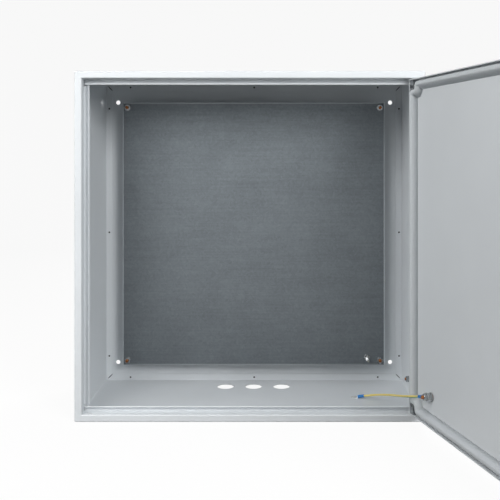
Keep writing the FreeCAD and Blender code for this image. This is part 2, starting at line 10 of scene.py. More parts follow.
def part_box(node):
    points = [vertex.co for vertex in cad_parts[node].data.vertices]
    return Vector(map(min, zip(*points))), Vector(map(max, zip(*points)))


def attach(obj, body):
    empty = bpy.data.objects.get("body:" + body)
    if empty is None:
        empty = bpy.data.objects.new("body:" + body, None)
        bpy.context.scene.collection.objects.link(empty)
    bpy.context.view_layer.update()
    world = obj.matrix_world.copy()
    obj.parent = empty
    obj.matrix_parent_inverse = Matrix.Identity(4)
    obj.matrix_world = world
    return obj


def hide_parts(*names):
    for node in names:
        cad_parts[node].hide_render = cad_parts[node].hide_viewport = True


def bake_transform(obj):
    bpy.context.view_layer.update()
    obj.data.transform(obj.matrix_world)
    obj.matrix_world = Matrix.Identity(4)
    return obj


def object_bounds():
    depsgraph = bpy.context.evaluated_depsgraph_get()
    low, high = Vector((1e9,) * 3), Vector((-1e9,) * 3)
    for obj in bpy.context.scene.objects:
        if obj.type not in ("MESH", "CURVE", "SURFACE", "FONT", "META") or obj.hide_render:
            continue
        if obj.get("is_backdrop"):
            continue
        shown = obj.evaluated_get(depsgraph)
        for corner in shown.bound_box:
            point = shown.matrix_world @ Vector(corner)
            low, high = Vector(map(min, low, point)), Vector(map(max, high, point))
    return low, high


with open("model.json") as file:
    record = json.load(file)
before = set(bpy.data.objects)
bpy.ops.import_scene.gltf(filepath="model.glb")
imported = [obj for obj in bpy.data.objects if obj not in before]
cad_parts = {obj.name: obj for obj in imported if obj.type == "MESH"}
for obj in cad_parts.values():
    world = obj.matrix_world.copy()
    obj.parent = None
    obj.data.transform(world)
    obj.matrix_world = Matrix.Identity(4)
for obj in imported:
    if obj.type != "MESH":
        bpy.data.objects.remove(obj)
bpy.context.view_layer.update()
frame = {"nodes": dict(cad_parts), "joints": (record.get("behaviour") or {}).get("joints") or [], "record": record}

bl_info = {
    "name": "Steel wall enclosure",
    "version": (1, 0, 0),
    "blender": (4, 5, 0),
    "location": "3D View > Sidebar > Enclosure",
    "description": "Gives a sheet steel wall enclosure its finishes, threads, seal, earth wire and stage",
    "category": "Object",
}

# All lengths are in metres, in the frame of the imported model.
MM = 0.001

# The door's hinge, and the angle from closed to where the door stands open at rest
DOOR_HINGE = next(joint for joint in frame["joints"] if joint["name"] == "door_hinge")
HINGE = Vector(DOOR_HINGE["pos_m"])
OPEN_ANGLE = math.radians(-DOOR_HINGE["range_deg"][0])

# The closed door's inner face, and the seal's centre line on it as X and Z, which steps in at the hinges
DOOR_INNER = -0.2485
SEAL_SIDE = 0.2775
SEAL_STEP_X = 0.2575
SEAL_STEP_Z = 0.264
SEAL_HEIGHT = 0.0105
# The bead is drawn in pieces of this length, and wanders in waves about 22 mm long.
SEAL_PIECE = 0.005
SEAL_WAVES_PER_METRE = 45.0

# The wire's route from the door's lug to the loose lug, and its length along the real bends
WIRE_ROUTE = [
    (0.28136, -0.29242, -0.24336),
    (0.2689, -0.2685, -0.2502),
    (0.2605, -0.2360, -0.2596),
    (0.2500, -0.1990, -0.2692),
    (0.2380, -0.1660, -0.2786),
    (0.2248, -0.1358, -0.2881),
    (0.20826, -0.12698, -0.29263),
]
WIRE_SIDES = 24

# The studs and the earth bolt: the middle of each one's foot, and how far it reaches from there
BACK_PLATE_FRONT = -0.0015
PANEL_STUDS = [(x, BACK_PLATE_FRONT, z) for x in (-0.25, 0.25) for z in (-0.25, 0.25)]
PANEL_STUD_REACH = 0.0425
PANEL_BOLT = (0.224, -0.031, -0.245)
PANEL_BOLT_REACH = 0.029
WALL_STUD = (0.2985, -0.103, -0.268)
WALL_STUD_REACH = 0.0101
DOOR_STUD = (0.213, DOOR_INNER, -0.2383)
DOOR_STUD_REACH = 0.0190
# The bolt's hexagon head is 10 mm across its flats.
BOLT_HEAD_HEIGHT = 0.004
BOLT_HEAD_RADIUS = 0.010 / math.sqrt(3)
# The low ring of weld round a stud's foot
WELD_RING_RADIUS = 0.0046
WELD_RING_HEIGHT = 0.0015

# A rod's facets: sides round it, and rows of them in one turn of the thread
ROD_SIDES = 28
ROWS_PER_TURN = 6
# How the thread's groove and the cone at the end draw in each place on a rod. A row is one sum, from the
# tree's inputs and the place's own x, y and z: its name, its kind, and the two values that it takes.
THREAD_SUMS = (
    ("turns", "DIVIDE", "Length", "Pitch"),
    ("rows", "MULTIPLY", "turns", ROWS_PER_TURN),
    ("half length", "DIVIDE", "Length", 2.0),
    ("angle", "ARCTAN2", "y", "x"),
    ("part turn", "DIVIDE", "angle", 2 * math.pi),
    ("advance", "DIVIDE", "z", "Pitch"),
    ("lead", "SUBTRACT", "advance", "part turn"),
    ("phase", "FRACT", "lead", 0.0),
    ("past crest", "SUBTRACT", "phase", 0.5),
    ("from crest", "ABSOLUTE", "past crest", 0.0),
    ("share of depth", "MULTIPLY", "from crest", 2.0),
    ("groove", "MULTIPLY", "share of depth", "Thread Depth"),
    ("threaded radius", "SUBTRACT", "Radius", "groove"),
    ("from end", "SUBTRACT", "Length", "z"),
    ("end radius", "SUBTRACT", "Radius", "Chamfer"),
    ("cone radius", "ADD", "end radius", "from end"),
    ("new radius", "MINIMUM", "threaded radius", "cone radius"),
    ("share", "DIVIDE", "new radius", "Radius"),
    ("new x", "MULTIPLY", "x", "share"),
    ("new y", "MULTIPLY", "y", "share"),
)

# The welds in the holes of the rear flanges, whose middles lie on the back plate's front
NUGGET_SIDE = 0.293
NUGGET_ALONG = 0.250
NUGGET_LUMPINESS = 0.25
NUGGET_SEED = 4
# The open mitre between two rear flanges: their front face, and how far out it starts and ends
REAR_FLANGE_FRONT = -0.003
MITRE_SPAN = (0.2862, 0.2950)

# The photograph's camera, in pixels of its 500 by 500 frame
PHOTO_SIZE = 500
SENSOR_WIDTH = 36
CAMERA_PLACE = (0.0468, -1.5930, 0.1554)
FOCAL_LENGTH_PIXELS = 786.5
VIEW_CENTRE_PIXELS = (277.3, 155.5)

# The studio's round floor, whose edge bends up into a low wall: its sizes and its facets
FLOOR_RADIUS = 3.6
FLOOR_BEND = 1.2
FLOOR_WALL_TOP = 2.6
FLOOR_BEND_STEPS = 12
FLOOR_SIDES = 96
# It lies a hair under the enclosure, so that the two faces don't fight.
FLOOR_GAP = 0.0005

# The soft lights: each one's name, its place, the point that it looks at, and its width and height
OPENING_MIDDLE = (0, -0.2, 0)
LAMPS = (
    ("left", (-0.8, -1.5, 0.9), OPENING_MIDDLE, (0.9, 0.9)),
    ("right", (1.3, -2.2, 0.9), OPENING_MIDDLE, (0.9, 0.9)),
    ("top", (0.0, -1.2, 1.9), OPENING_MIDDLE, (1.2, 0.8)),
    ("side", (-1.6, -1.0, 0.5), OPENING_MIDDLE, (0.6, 0.9)),
    ("back", (1.1, 1.9, 0.7), (0, 0, 0), (1.0, 1.0)),
)

# The metals but for the galvanised sheet: name, dark and light tone, least and greatest roughness, and the
# width of their mottle in millimetres
METALS = {
    # Bright zinc plate on steel nuts and washers: smooth, so that it mirrors the room softly
    "bright_zinc": ("bright_zinc_plate", "#8e9091", "#c3c6c7", 0.14, 0.3, 2.0),
    # Copper plate on steel weld studs: a warm brown that has lost its first shine
    "copper_plate": ("copper_plate", "#84512f", "#a86f48", 0.22, 0.38, 1.5),
    # Tin plate on the pressed copper lugs: the palest metal, with a soft sheen
    "tinned_copper": ("tinned_copper", "#d6d6d3", "#f2f2f0", 0.26, 0.5, 1.2),
    # Zinc die casting, tumbled satin: an even grey that blurs what it mirrors
    "die_cast": ("satin_die_cast_zinc", "#a2a5a7", "#c0c3c5", 0.24, 0.38, 1.2),
    # Weld metal in the flange holes, nearly black and dull: the black is painted shade of the holes
    "weld_steel": ("burnt_weld_steel", "#2c2d2e", "#4a4846", 0.45, 0.65, 0.8),
}

# The plain plastics: name, dark and light tone, roughness, and the width of their grain in millimetres
PLASTICS = {
    # Extruded soft PVC sleeve: a strong blue with a broad soft highlight
    "blue_pvc": ("blue_pvc_sleeve", "#0068ad", "#007ac2", 0.32, 1.5),
    # Moulded nylon without a dye: a warm, slightly milky white
    "nylon": ("natural_nylon", "#dcd9cc", "#e6e3d8", 0.45, 1.5),
    # Dark grey with little shine, drawn as acrylic sealant smoothed by a finger: painted shade of the open rear
    # mitres
    "sealant": ("dark_acrylic_sealant", "#2f3437", "#43494d", 0.5, 1.0),
}

# What every colour setting has besides its own name, description and default
COLOUR = {"subtype": "COLOR", "size": 3, "min": 0, "max": 1}


def linear(code):
    """An sRGB hex code as linear red, green, blue and alpha."""
    parts = [int(code[i : i + 2], 16) / 255 for i in (1, 3, 5)]
    return tuple(p / 12.92 if p <= 0.04045 else ((p + 0.055) / 1.055) ** 2.4 for p in parts) + (1.0,)


def opaque(colour):
    """A colour setting as red, green, blue and full alpha."""
    return (*colour, 1.0)


def fill(tree, node, inputs):
    """Sets or links a node's inputs, which are named or numbered."""
    for name, value in inputs.items():
        if isinstance(value, bpy.types.NodeSocket):
            tree.links.new(value, node.inputs[name])
        else:
            node.inputs[name].default_value = value


def add_node(tree, kind, inputs=None, **settings):
    """Adds a node, sets its properties and fills its inputs."""
    node = tree.nodes.new(kind)
    for name, value in settings.items():
        setattr(node, name, value)
    fill(tree, node, inputs or {})
    return node


def new_material(name, inputs):
    """A material that holds only a Principled shader, whose inputs are filled, and its output."""
    material = bpy.data.materials.new(name)
    material.use_nodes = True
    tree = material.node_tree
    tree.nodes.clear()
    shader = add_node(tree, "ShaderNodeBsdfPrincipled", inputs)
    add_node(tree, "ShaderNodeOutputMaterial", {"Surface": shader.outputs[0]})
    return material, tree, shader


def new_object(name, data):
    """An object that holds the data, linked to the scene."""
    made = bpy.data.objects.new(name, data)
    bpy.context.scene.collection.objects.link(made)
    return made


def seen_ray(tree):
    """1 for a ray that the camera, a mirroring surface or glass sends out, and 0 for light that scatters."""
    rays = add_node(tree, "ShaderNodeLightPath").outputs
    seen = rays["Is Camera Ray"]
    for kind in ("Is Glossy Ray", "Is Transmission Ray"):
        seen = add_node(tree, "ShaderNodeMath", {0: seen, 1: rays[kind]}, operation="MAXIMUM").outputs[0]
    return seen


def powder_coat(settings):
    """Polyester powder coat baked on steel: dull, with a fine orange peel that softens each highlight."""
    material, tree, shader = new_material("powder_coat_light_grey", {"Specular IOR Level": 0.45})
    place = add_node(tree, "ShaderNodeTexCoord").outputs["Object"]
    # The tone drifts a little, over about 111 mm.
    cloud = add_node(tree, "ShaderNodeTexNoise", {"Vector": place, "Scale": 1 / (111 * MM), "Detail": 2.0})
    # The real peel is about 0.6 mm across and is drawn at 1.6 mm, so that it shows.
    peel = add_node(
        tree,
        "ShaderNodeTexNoise",
        {"Vector": place, "Scale": 1 / (1.6 * MM), "Detail": 2.0, "Roughness": 0.55},
    )
    tone = add_node(
        tree,
        "ShaderNodeMix",
        {0: cloud.outputs["Fac"], 6: linear("#cfd3d6"), 7: opaque(settings.coat_colour)},
        data_type="RGBA",
    )
    gloss = add_node(
        tree, "ShaderNodeMapRange", {"Value": peel.outputs["Fac"], "To Min": 0.38, "To Max": 0.52}
    )
    bump = add_node(
        tree, "ShaderNodeBump", {"Height": peel.outputs["Fac"], "Strength": 0.35, "Distance": 0.06 * MM}
    )
    fill(
        tree,
        shader,
        {"Base Color": tone.outputs[2], "Roughness": gloss.outputs[0], "Normal": bump.outputs[0]},
    )
    return material


def edge_highlight_share(tree, place, box, wide):
    """1 in a band at the side edges of an upright sheet, less at its top and bottom, and 0 elsewhere."""
    low, high = box
    from_middle = add_node(
        tree,
        "ShaderNodeVectorMath",
        {0: place, 1: tuple((a + b) / 2 for a, b in zip(low, high))},
        operation="SUBTRACT",
    )
    size = add_node(tree, "ShaderNodeVectorMath", {0: from_middle.outputs[0]}, operation="ABSOLUTE")
    axes = add_node(tree, "ShaderNodeSeparateXYZ", {0: size.outputs[0]})
    share = 0.0
    for axis, strength in ((0, 1.0), (2, 0.3)):
        inner = (high[axis] - low[axis]) / 2 - wide
        band = add_node(tree, "ShaderNodeMath", {0: axes.outputs[axis], 1: inner}, operation="GREATER_THAN")
        part = add_node(tree, "ShaderNodeMath", {0: band.outputs[0], 1: strength}, operation="MULTIPLY")
        most = add_node(tree, "ShaderNodeMath", {0: part.outputs[0], 1: share}, operation="MAXIMUM")
        share = most.outputs[0]
    return share


def galvanised_sheet():
    """Hot-dip galvanised steel: zinc crystals a few millimetres wide, each with its own grey and gloss."""
    material, tree, shader = new_material("galvanised_sheet", {"Metallic": 1.0})
    place = add_node(tree, "ShaderNodeTexCoord").outputs["Object"]
    # The rolls leave faint streaks along the sheet, about 90 mm long and 3 mm high.
    along = add_node(
        tree,
        "ShaderNodeMapping",
        {"Vector": place, "Scale": (1 / (90 * MM), 1 / (90 * MM), 1 / (3 * MM))},
    )
    streak = add_node(
        tree, "ShaderNodeTexNoise", {"Vector": along.outputs[0], "Scale": 1.0, "Detail": 3.0}
    )
    # The crystals are about 3 mm wide, and their edges wander over about 17 mm.
    wander = add_node(
        tree, "ShaderNodeTexNoise", {"Vector": place, "Scale": 1 / (16.7 * MM), "Detail": 2.0}
    )
    bent = add_node(
        tree, "ShaderNodeMixRGB", {"Fac": 0.02, "Color1": place, "Color2": wander.outputs["Color"]}
    )
    crystal = add_node(tree, "ShaderNodeTexVoronoi", {"Vector": bent.outputs[0], "Scale": 1 / (3 * MM)})
    cell = add_node(tree, "ShaderNodeSeparateColor", {"Color": crystal.outputs["Color"]})
    # The bath leaves clouds about 70 mm across.
    cloud = add_node(
        tree, "ShaderNodeTexNoise", {"Vector": place, "Scale": 1 / (71.4 * MM), "Detail": 4.0}
    )
    # Crystal, cloud and streak weigh 0.45, 1 and 0.8 in the sheet's tone.
    pattern = cloud.outputs["Fac"]
    for layer, weight in ((cell.outputs[0], 0.45), (streak.outputs["Fac"], 0.8)):
        pattern = add_node(
            tree, "ShaderNodeMath", {0: layer, 1: weight, 2: pattern}, operation="MULTIPLY_ADD"
        ).outputs[0]
    share = add_node(tree, "ShaderNodeMapRange", {"Value": pattern, "From Min": 0.55, "From Max": 1.7})
    sheet = add_node(
        tree,
        "ShaderNodeMix",
        {0: share.outputs[0], 6: linear("#62676b"), 7: linear("#747a7e")},
        data_type="RGBA",
    )
    # A painted highlight of the sheet's bent edges: a bright band, drawn 2 mm wide so that it shows.
    painted_edge_highlight = edge_highlight_share(tree, place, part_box("mounting_panel"), 2 * MM)
    tone = add_node(
        tree, "ShaderNodeMix", {0: painted_edge_highlight, 6: sheet.outputs[2], 7: linear("#d4d8da")}, data_type="RGBA"
    )
    gloss = add_node(tree, "ShaderNodeMapRange", {"Value": cell.outputs[1], "To Min": 0.52, "To Max": 0.6})
    fill(tree, shader, {"Base Color": tone.outputs[2], "Roughness": gloss.outputs[0]})
    return material


def plain_metal(name, dark, light, smooth, rough, grain):
    """A plated, cast or burnt metal with a faint mottle of tone and gloss, grain millimetres wide."""
    material, tree, shader = new_material(name, {"Metallic": 1.0})
    place = add_node(tree, "ShaderNodeTexCoord").outputs["Object"]
    mottle = add_node(
        tree, "ShaderNodeTexNoise", {"Vector": place, "Scale": 1 / (grain * MM), "Detail": 3.0}
    ).outputs["Fac"]
    tone = add_node(
        tree, "ShaderNodeMix", {0: mottle, 6: linear(dark), 7: linear(light)}, data_type="RGBA"
    )
    gloss = add_node(tree, "ShaderNodeMapRange", {"Value": mottle, "To Min": smooth, "To Max": rough})
    fill(tree, shader, {"Base Color": tone.outputs[2], "Roughness": gloss.outputs[0]})
    return material


def plain_plastic(name, dark, light, roughness, grain):
    """A plastic as it leaves the mould, the extruder or the nozzle, with a grain in millimetres."""
    material, tree, shader = new_material(name, {"Roughness": roughness})
    place = add_node(tree, "ShaderNodeTexCoord").outputs["Object"]
    fine = add_node(
        tree, "ShaderNodeTexNoise", {"Vector": place, "Scale": 1 / (grain * MM), "Detail": 3.0}
    ).outputs["Fac"]
    tone = add_node(tree, "ShaderNodeMix", {0: fine, 6: linear(dark), 7: linear(light)}, data_type="RGBA")
    bump = add_node(
        tree, "ShaderNodeBump", {"Height": fine, "Strength": 0.3, "Distance": grain * MM / 10}
    )
    fill(tree, shader, {"Base Color": tone.outputs[2], "Normal": bump.outputs[0]})
    return material


def striped_insulation(settings):
    """Extruded PVC in yellow with a green stripe that winds slowly round the wire."""
    material, tree, shader = new_material("striped_wire_insulation", {"Roughness": 0.42})
    wrap = add_node(tree, "ShaderNodeUVMap", uv_map="wrap").outputs[0]
    around, along = add_node(tree, "ShaderNodeSeparateXYZ", {0: wrap}).outputs[:2]
    # Turns past the stripe's start, which wind on with the place along the wire
    stripe = along
    for operation, value in (
        ("MULTIPLY", 1 / settings.stripe_twist),
        ("ADD", around),
        ("ADD", settings.stripe_start),
        ("FRACT", 0.0),
        ("LESS_THAN", settings.stripe_share),
    ):
        stripe = add_node(tree, "ShaderNodeMath", {0: stripe, 1: value}, operation=operation).outputs[0]
    tone = add_node(
        tree,
        "ShaderNodeMix",
        {0: stripe, 6: opaque(settings.wire_colour), 7: opaque(settings.stripe_colour)},
        data_type="RGBA",
    )
    fill(tree, shader, {"Base Color": tone.outputs[2]})
    return material


def poured_foam(settings):
    """Polyurethane foam poured on the door: matt, with small closed cells under a thin skin."""
    material, tree, shader = new_material("poured_foam", {"Roughness": 0.85, "Specular IOR Level": 0.2})
    place = add_node(tree, "ShaderNodeTexCoord").outputs["Object"]
    # Real cells are about 0.3 mm wide and are drawn at 0.8 mm, so that they show.
    cells = add_node(tree, "ShaderNodeTexVoronoi", {"Vector": place, "Scale": 1 / (0.8 * MM)})
    depth = cells.outputs["Distance"]
    tone = add_node(
        tree,
        "ShaderNodeMix",
        {0: depth, 6: opaque(settings.seal_colour), 7: linear("#bec3c6")},
        data_type="RGBA",
    )
    bump = add_node(tree, "ShaderNodeBump", {"Height": depth, "Strength": 0.4, "Distance": 0.1 * MM})
    fill(tree, shader, {"Base Color": tone.outputs[2], "Normal": bump.outputs[0]})
    return material


def finishes(settings):
    """Every material of the object, by the name of its slot where the record has one."""
    made = {
        "powder_coat": powder_coat(settings),
        "galvanised": galvanised_sheet(),
        "wire_pvc": striped_insulation(settings),
        "foam_seal": poured_foam(settings),
    }
    for slot, values in METALS.items():
        made[slot] = plain_metal(*values)
    for slot, values in PLASTICS.items():
        made[slot] = plain_plastic(*values)
    return made


def material_for(slot):
    """The material that finishes() made for a slot, or for a finish that has no slot."""
    return bpy.data.materials[bpy.context.scene.enclosure.finish_names[slot].value]


def opened():
    """The turn that takes the closed door to where it stands open."""
    return Matrix.Translation(HINGE) @ Matrix.Rotation(OPEN_ANGLE, 4, "Z") @ Matrix.Translation(-HINGE)


def new_tree(name, inputs):
    """A geometry node tree with named inputs, and the sockets that hand them to its nodes."""
    tree = bpy.data.node_groups.new(name, "GeometryNodeTree")
    tree.interface.new_socket("Geometry", in_out="INPUT", socket_type="NodeSocketGeometry")
    for label, kind in inputs.items():
        tree.interface.new_socket(label, in_out="INPUT", socket_type="NodeSocket" + kind)
    tree.interface.new_socket("Geometry", in_out="OUTPUT", socket_type="NodeSocketGeometry")
    return tree, tree.nodes.new("NodeGroupInput").outputs


def end_tree(tree, geometry, material):
    """Ends a tree in Realize Instances and Set Material."""
    real = add_node(tree, "GeometryNodeRealizeInstances", {0: geometry})
    painted = add_node(tree, "GeometryNodeSetMaterial", {"Geometry": real.outputs[0], "Material": material})
    add_node(tree, "NodeGroupOutput", {0: painted.outputs[0]})


def run_tree(tree, mesh, values, name):
    """Runs a tree on a mesh and returns the result as an object with a plain mesh."""
    source = new_object(name + "_source", mesh)
    modifier = source.modifiers.new(name, "NODES")
    modifier.node_group = tree
    for item in tree.interface.items_tree:
        if item.in_out == "INPUT" and item.name in values:
            modifier[item.identifier] = values[item.name]
    graph = bpy.context.evaluated_depsgraph_get()
    made = bpy.data.meshes.new_from_object(source.evaluated_get(graph), depsgraph=graph)
    made.name = name
    bpy.data.objects.remove(source)
    return new_object(name, made)


def uneven(tree, geometry, scale, detail, reach):
    """A geometry smoothly shaded, whose points a noise moves by up to half of reach each way."""
    noise = add_node(tree, "ShaderNodeTexNoise", {"Scale": scale, "Detail": detail})
    centred = add_node(
        tree, "ShaderNodeVectorMath", {0: noise.outputs["Color"], 1: (0.5, 0.5, 0.5)}, operation="SUBTRACT"
    )
    offset = add_node(
        tree, "ShaderNodeVectorMath", {0: centred.outputs[0], "Scale": reach}, operation="SCALE"
    )
    moved = add_node(tree, "GeometryNodeSetPosition", {"Geometry": geometry, "Offset": offset.outputs[0]})
    return add_node(tree, "GeometryNodeSetShadeSmooth", {"Geometry": moved.outputs[0]}).outputs[0]


def threaded_tree():
    """A threaded rod on every point of a mesh, with a chamfered end and a foot of any number of sides."""
    tree, given = new_tree(
        "threaded_rods",
        {
            "Radius": "Float",
            "Thread Depth": "Float",
            "Pitch": "Float",
            "Length": "Float",
            "Chamfer": "Float",
            "Turn": "Rotation",
            "Foot Sides": "Int",
            "Foot Radius": "Float",
            "Foot Height": "Float",
            "Foot Offset": "Float",
            "Material": "Material",
        },
    )
    spot = add_node(tree, "GeometryNodeInputPosition")
    axes = add_node(tree, "ShaderNodeSeparateXYZ", {0: spot.outputs[0]})
    known = dict(zip("xyz", axes.outputs))
    known.update((socket.name, socket) for socket in given if socket.name)
    for name, operation, first, second in THREAD_SUMS:
        known[name] = add_node(
            tree, "ShaderNodeMath", {0: known[first], 1: known.get(second, second)}, operation=operation
        ).outputs[0]
    rod = add_node(
        tree,
        "GeometryNodeMeshCylinder",
        {
            "Vertices": ROD_SIDES,
            "Side Segments": known["rows"],
            "Radius": given["Radius"],
            "Depth": given["Length"],
        },
    )
    lift = add_node(tree, "ShaderNodeCombineXYZ", {2: known["half length"]})
    rod_up = add_node(
        tree, "GeometryNodeTransform", {"Geometry": rod.outputs[0], "Translation": lift.outputs[0]}
    )
    drawn_in = add_node(tree, "ShaderNodeCombineXYZ", {0: known["new x"], 1: known["new y"], 2: known["z"]})
    cut = add_node(
        tree, "GeometryNodeSetPosition", {"Geometry": rod_up.outputs[0], "Position": drawn_in.outputs[0]}
    )
    foot = add_node(
        tree,
        "GeometryNodeMeshCylinder",
        {"Vertices": given["Foot Sides"], "Radius": given["Foot Radius"], "Depth": given["Foot Height"]},
    )
    foot_lift = add_node(tree, "ShaderNodeCombineXYZ", {2: given["Foot Offset"]})
    foot_up = add_node(
        tree, "GeometryNodeTransform", {"Geometry": foot.outputs[0], "Translation": foot_lift.outputs[0]}
    )
    whole = add_node(tree, "GeometryNodeJoinGeometry", {0: cut.outputs[0]})
    fill(tree, whole, {0: foot_up.outputs[0]})
    placed = add_node(
        tree,
        "GeometryNodeInstanceOnPoints",
        {"Points": given["Geometry"], "Instance": whole.outputs[0], "Rotation": given["Turn"]},
    )
    end_tree(tree, placed.outputs[0], given["Material"])
    return tree


def seal_tree():
    """A foam bead that follows a closed line, with rounded corners and a slightly uneven crown."""
    tree, given = new_tree(
        "foam_bead",
        {
            "Corner Radius": "Float",
            "Top Width": "Float",
            "Foot Width": "Float",
            "Height": "Float",
            "Crown": "Float",
            "Unevenness": "Float",
            "Waves Per Metre": "Float",
            "Piece Length": "Float",
            "Material": "Material",
        },
    )
    line = add_node(tree, "GeometryNodeMeshToCurve", {0: given["Geometry"]})
    rounded = add_node(
        tree,
        "GeometryNodeFilletCurve",
        {"Curve": line.outputs[0], "Radius": given["Corner Radius"], "Count": 8, "Limit Radius": True},
        mode="POLY",
    )
    even = add_node(
        tree,
        "GeometryNodeResampleCurve",
        {"Curve": rounded.outputs[0], "Length": given["Piece Length"]},
        mode="LENGTH",
    )
    upright = add_node(tree, "GeometryNodeSetCurveNormal", {0: even.outputs[0]}, mode="Z_UP")
    spread = add_node(
        tree, "ShaderNodeMath", {0: given["Foot Width"], 1: given["Top Width"]}, operation="SUBTRACT"
    )
    lean = add_node(tree, "ShaderNodeMath", {0: spread.outputs[0], 1: 0.5}, operation="MULTIPLY")
    section = add_node(
        tree,
        "GeometryNodeCurvePrimitiveQuadrilateral",
        {
            "Height": given["Height"],
            "Bottom Width": given["Top Width"],
            "Top Width": given["Foot Width"],
            "Offset": lean.outputs[0],
        },
        mode="TRAPEZOID",
    )
    turned = add_node(
        tree, "GeometryNodeTransform", {"Geometry": section.outputs[0], "Rotation": (0, 0, math.pi)}
    )
    # Only the crown is rounded: the foot runs out flat on the door.
    spot = add_node(tree, "GeometryNodeInputPosition")
    height = add_node(tree, "ShaderNodeSeparateXYZ", {0: spot.outputs[0]})
    crowned = add_node(tree, "ShaderNodeMath", {0: height.outputs[1], 1: 0.0}, operation="GREATER_THAN")
    radius = add_node(
        tree, "ShaderNodeMath", {0: crowned.outputs[0], 1: given["Crown"]}, operation="MULTIPLY"
    )
    domed = add_node(
        tree,
        "GeometryNodeFilletCurve",
        {"Curve": turned.outputs[0], "Radius": radius.outputs[0], "Count": 6, "Limit Radius": True},
        mode="POLY",
    )
    bead = add_node(
        tree, "GeometryNodeCurveToMesh", {"Curve": upright.outputs[0], "Profile Curve": domed.outputs[0]}
    )
    poured = uneven(tree, bead.outputs[0], given["Waves Per Metre"], 2.0, given["Unevenness"])
    end_tree(tree, poured, given["Material"])
    return tree


def bead_tree():
    """A round bead along every edge of a mesh, with closed ends that thin out a little."""
    tree, given = new_tree("sealant_beads", {"Radius": "Float", "Material": "Material"})
    line = add_node(tree, "GeometryNodeMeshToCurve", {0: given["Geometry"]})
    even = add_node(
        tree, "GeometryNodeResampleCurve", {"Curve": line.outputs[0], "Count": 9}, mode="COUNT"
    )
    along = add_node(tree, "GeometryNodeSplineParameter")
    from_middle = add_node(
        tree, "ShaderNodeMath", {0: along.outputs["Factor"], 1: 0.5}, operation="SUBTRACT"
    )
    square = add_node(
        tree, "ShaderNodeMath", {0: from_middle.outputs[0], 1: from_middle.outputs[0]}, operation="MULTIPLY"
    )
    # This is a third at the bead's two ends and 1 in its middle.
    share = add_node(
        tree, "ShaderNodeMath", {0: square.outputs[0], 1: -2.6, 2: 1.0}, operation="MULTIPLY_ADD"
    )
    ring = add_node(tree, "GeometryNodeCurvePrimitiveCircle", {"Resolution": 12, "Radius": given["Radius"]})
    bead = add_node(
        tree,
        "GeometryNodeCurveToMesh",
        {
            "Curve": even.outputs[0],
            "Profile Curve": ring.outputs[0],
            "Scale": share.outputs[0],
            "Fill Caps": True,
        },
    )
    smooth = add_node(tree, "GeometryNodeSetShadeSmooth", {"Geometry": bead.outputs[0]})
    end_tree(tree, smooth.outputs[0], given["Material"])
    return tree


def nugget_tree():
    """A flattened, slightly lumpy drop of weld metal on every point of a mesh, each turned at random."""
    tree, given = new_tree(
        "weld_nuggets",
        {
            "Radius": "Float",
            "Height": "Float",
            "Lumpiness": "Float",
            "Seed": "Int",
            "Material": "Material",
        },
    )
    ball = add_node(tree, "GeometryNodeMeshUVSphere", {"Segments": 20, "Rings": 12, "Radius": 1.0})
    # The ball's radius is 1 here, so this makes three or four lumps on each.
    lumpy = uneven(tree, ball.outputs[0], 1.6, 1.0, given["Lumpiness"])
    turn = add_node(
        tree,
        "FunctionNodeRandomValue",
        {"Min": (0.0, 0.0, 0.0), "Max": (0.0, 2 * math.pi, 0.0), "Seed": given["Seed"]},
        data_type="FLOAT_VECTOR",
    )
    flat = add_node(
        tree, "ShaderNodeCombineXYZ", {0: given["Radius"], 1: given["Height"], 2: given["Radius"]}
    )
    placed = add_node(
        tree,
        "GeometryNodeInstanceOnPoints",
        {
            "Points": given["Geometry"],
            "Instance": lumpy,
            "Rotation": turn.outputs[0],
            "Scale": flat.outputs[0],
        },
    )
    end_tree(tree, placed.outputs[0], given["Material"])
    return tree


def spline_points(route):
    """The points of a smooth NURBS line with the route as its control points."""
    curve = bpy.data.curves.new("route", "CURVE")
    curve.dimensions = "3D"
    spline = curve.splines.new("NURBS")
    spline.points.add(len(route) - 1)
    for point, place in zip(spline.points, route):
        point.co = (*place, 1.0)
    # The lowest order that is smooth keeps closest to the route.
    spline.order_u = 3
    spline.use_endpoint_u = True
    spline.resolution_u = 16
    line = new_object("route", curve)
    graph = bpy.context.evaluated_depsgraph_get()
    mesh = bpy.data.meshes.new_from_object(line.evaluated_get(graph), depsgraph=graph)
    points = [v.co.copy() for v in mesh.vertices]
    bpy.data.objects.remove(line)
    bpy.data.meshes.remove(mesh)
    return points


def tube(name, path, radius, sides, material):
    """A closed tube along a path, with a UV map that holds turns round it and metres along it."""
    vertices = []
    faces = []
    wraps = []
    along = [0.0]
    for a, b in zip(path, path[1:]):
        along.append(along[-1] + (b - a).length)
    # The sides are carried along the path without twist, so that the stripe alone winds.
    heading = (path[1] - path[0]).normalized()
    side = heading.orthogonal().normalized()
    for i, place in enumerate(path):
        nearby = path[min(i + 1, len(path) - 1)] - path[max(i - 1, 0)]
        turn = heading.rotation_difference(nearby.normalized())
        heading = nearby.normalized()
        side = (turn @ side).normalized()
        other = heading.cross(side)
        for k in range(sides):
            angle = 2 * math.pi * k / sides
            vertices.append(place + radius * (math.cos(angle) * side + math.sin(angle) * other))
    for i in range(len(path) - 1):
        for k in range(sides):
            after = (k + 1) % sides
            faces.append((i * sides + k, i * sides + after, (i + 1) * sides + after, (i + 1) * sides + k))
            low, high = k / sides, (k + 1) / sides
            wraps += [(low, along[i]), (high, along[i]), (high, along[i + 1]), (low, along[i + 1])]
    last = (len(path) - 1) * sides
    faces.append(tuple(range(sides - 1, -1, -1)))
    faces.append(tuple(range(last, last + sides)))
    wraps += [(0.5, 0.0)] * sides + [(0.5, along[-1])] * sides
    mesh = bpy.data.meshes.new(name)
    mesh.from_pydata(vertices, [], faces)
    layer = mesh.uv_layers.new(name="wrap")
    for corner, wrap in zip(layer.data, wraps):
        corner.uv = wrap
    mesh.materials.append(material)
    for polygon in mesh.polygons:
        polygon.use_smooth = len(polygon.vertices) == 4
    return new_object(name, mesh)


